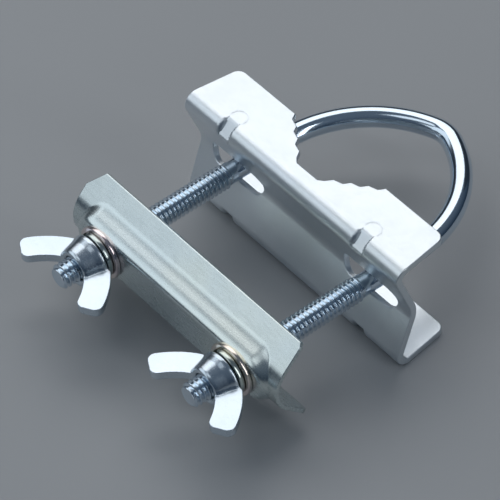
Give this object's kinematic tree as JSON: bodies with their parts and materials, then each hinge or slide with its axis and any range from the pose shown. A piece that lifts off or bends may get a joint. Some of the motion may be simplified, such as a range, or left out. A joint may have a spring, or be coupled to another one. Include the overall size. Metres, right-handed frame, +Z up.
{
  "type": "u-bolt pipe clamp",
  "caption": "U-bolt pipe clamp: bent rod through a toothed channel saddle, with a vee clamp plate drawn up the threaded legs by wing nuts over flat and split spring washers.",
  "frame": {"origin": "centre of the arch's springing line, midway between the two legs, on the axis of the clamped pipe's seat", "axes": "+X along the saddle from the left leg to the right leg; +Y along the legs, from their free ends towards the arch; +Z up, along the clamped pipe and square to the plane of the U-bolt"},
  "size_m": [0.079, 0.105, 0.033],
  "materials": {
    "plated_rod": "bright blue-white zinc plate on drawn steel rod",
    "plated_sheet": "bright zinc plate on pressed steel sheet, faint rolling grain",
    "plated_washer": "zinc plate, rolled edges from barrel plating",
    "plated_spring": "zinc plate on spring steel, slightly darker",
    "plated_nut": "satin zinc plate on a cold-formed nut"
  },
  "bodies": {
    "rod": {"u_bolt": "plated_rod"},
    "saddle": {"saddle_bracket": "plated_sheet"},
    "plate": {"clamp_plate": "plated_sheet"},
    "flat_washer_left": {"flat_washer_left": "plated_washer"},
    "spring_washer_left": {"spring_washer_left": "plated_spring"},
    "nut_left": {"wing_nut_left": "plated_nut"},
    "flat_washer_right": {"flat_washer_right": "plated_washer"},
    "spring_washer_right": {"spring_washer_right": "plated_spring"},
    "nut_right": {"wing_nut_right": "plated_nut"}
  },
  "joints": [
    {"name": "saddle_slide", "type": "slide", "parent": "rod", "child": "saddle", "axis": [0, 1, 0], "range_m": [-0.006, 0.03]},
    {"name": "plate_slide", "type": "slide", "parent": "rod", "child": "plate", "axis": [0, 1, 0], "range_m": [-0.00254, 0.01905]},
    {"name": "flat_washer_left_turn", "type": "hinge", "parent": "plate", "child": "flat_washer_left", "pos_m": [-0.0245, -0.0562, 0], "axis": [0, 1, 0], "continuous": true},
    {"name": "spring_washer_left_turn", "type": "hinge", "parent": "plate", "child": "spring_washer_left", "pos_m": [-0.0245, -0.0577, 0], "axis": [0, 1, 0], "continuous": true},
    {"name": "flat_washer_right_turn", "type": "hinge", "parent": "plate", "child": "flat_washer_right", "pos_m": [0.0245, -0.0562, 0], "axis": [0, 1, 0], "continuous": true},
    {"name": "spring_washer_right_turn", "type": "hinge", "parent": "plate", "child": "spring_washer_right", "pos_m": [0.0245, -0.0577, 0], "axis": [0, 1, 0], "continuous": true},
    {"name": "wing_nut_left_turn", "type": "hinge", "parent": "plate", "child": "nut_left", "pos_m": [-0.0245, -0.0616, 0], "axis": [0, 1, 0], "range_deg": [-720, 5400]},
    {"name": "wing_nut_right_turn", "type": "hinge", "parent": "plate", "child": "nut_right", "pos_m": [0.0245, -0.0616, 0], "axis": [0, 1, 0], "range_deg": [-720, 5400]}
  ],
  "couplings": [
    {"joint": "wing_nut_left_turn", "follows": "plate_slide", "rad_per_m": 4947.4},
    {"joint": "wing_nut_right_turn", "follows": "plate_slide", "rad_per_m": 4947.4}
  ]
}
